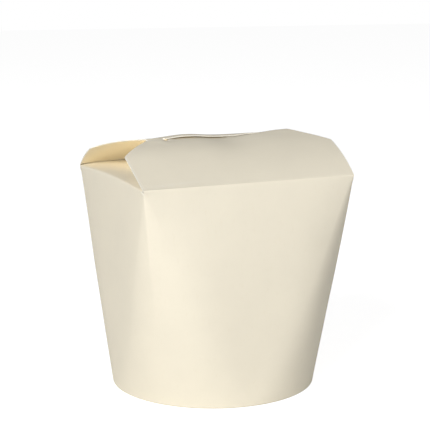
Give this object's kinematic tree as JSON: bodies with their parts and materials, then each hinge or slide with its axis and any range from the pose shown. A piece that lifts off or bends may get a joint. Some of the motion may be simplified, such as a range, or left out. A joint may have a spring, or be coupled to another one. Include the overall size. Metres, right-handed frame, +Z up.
{
  "type": "noodle takeaway box",
  "caption": "Shut paperboard takeaway box with a rectangular mouth that narrows to a round base, closed by folded flaps that lock in a low roof.",
  "frame": {"origin": "middle of the round base, on the ground plane", "axes": "+Z up from the base to the roof, -Y out of the front panel whose flap carries the tongue, +X to the right seen from the front"},
  "size_m": [0.101, 0.0962, 0.1174],
  "materials": {
    "carton_board": "matte",
    "disc_board": "matte"
  },
  "bodies": {
    "root": {"carton": "carton_board", "base_disc": "disc_board"}
  },
  "joints": []
}
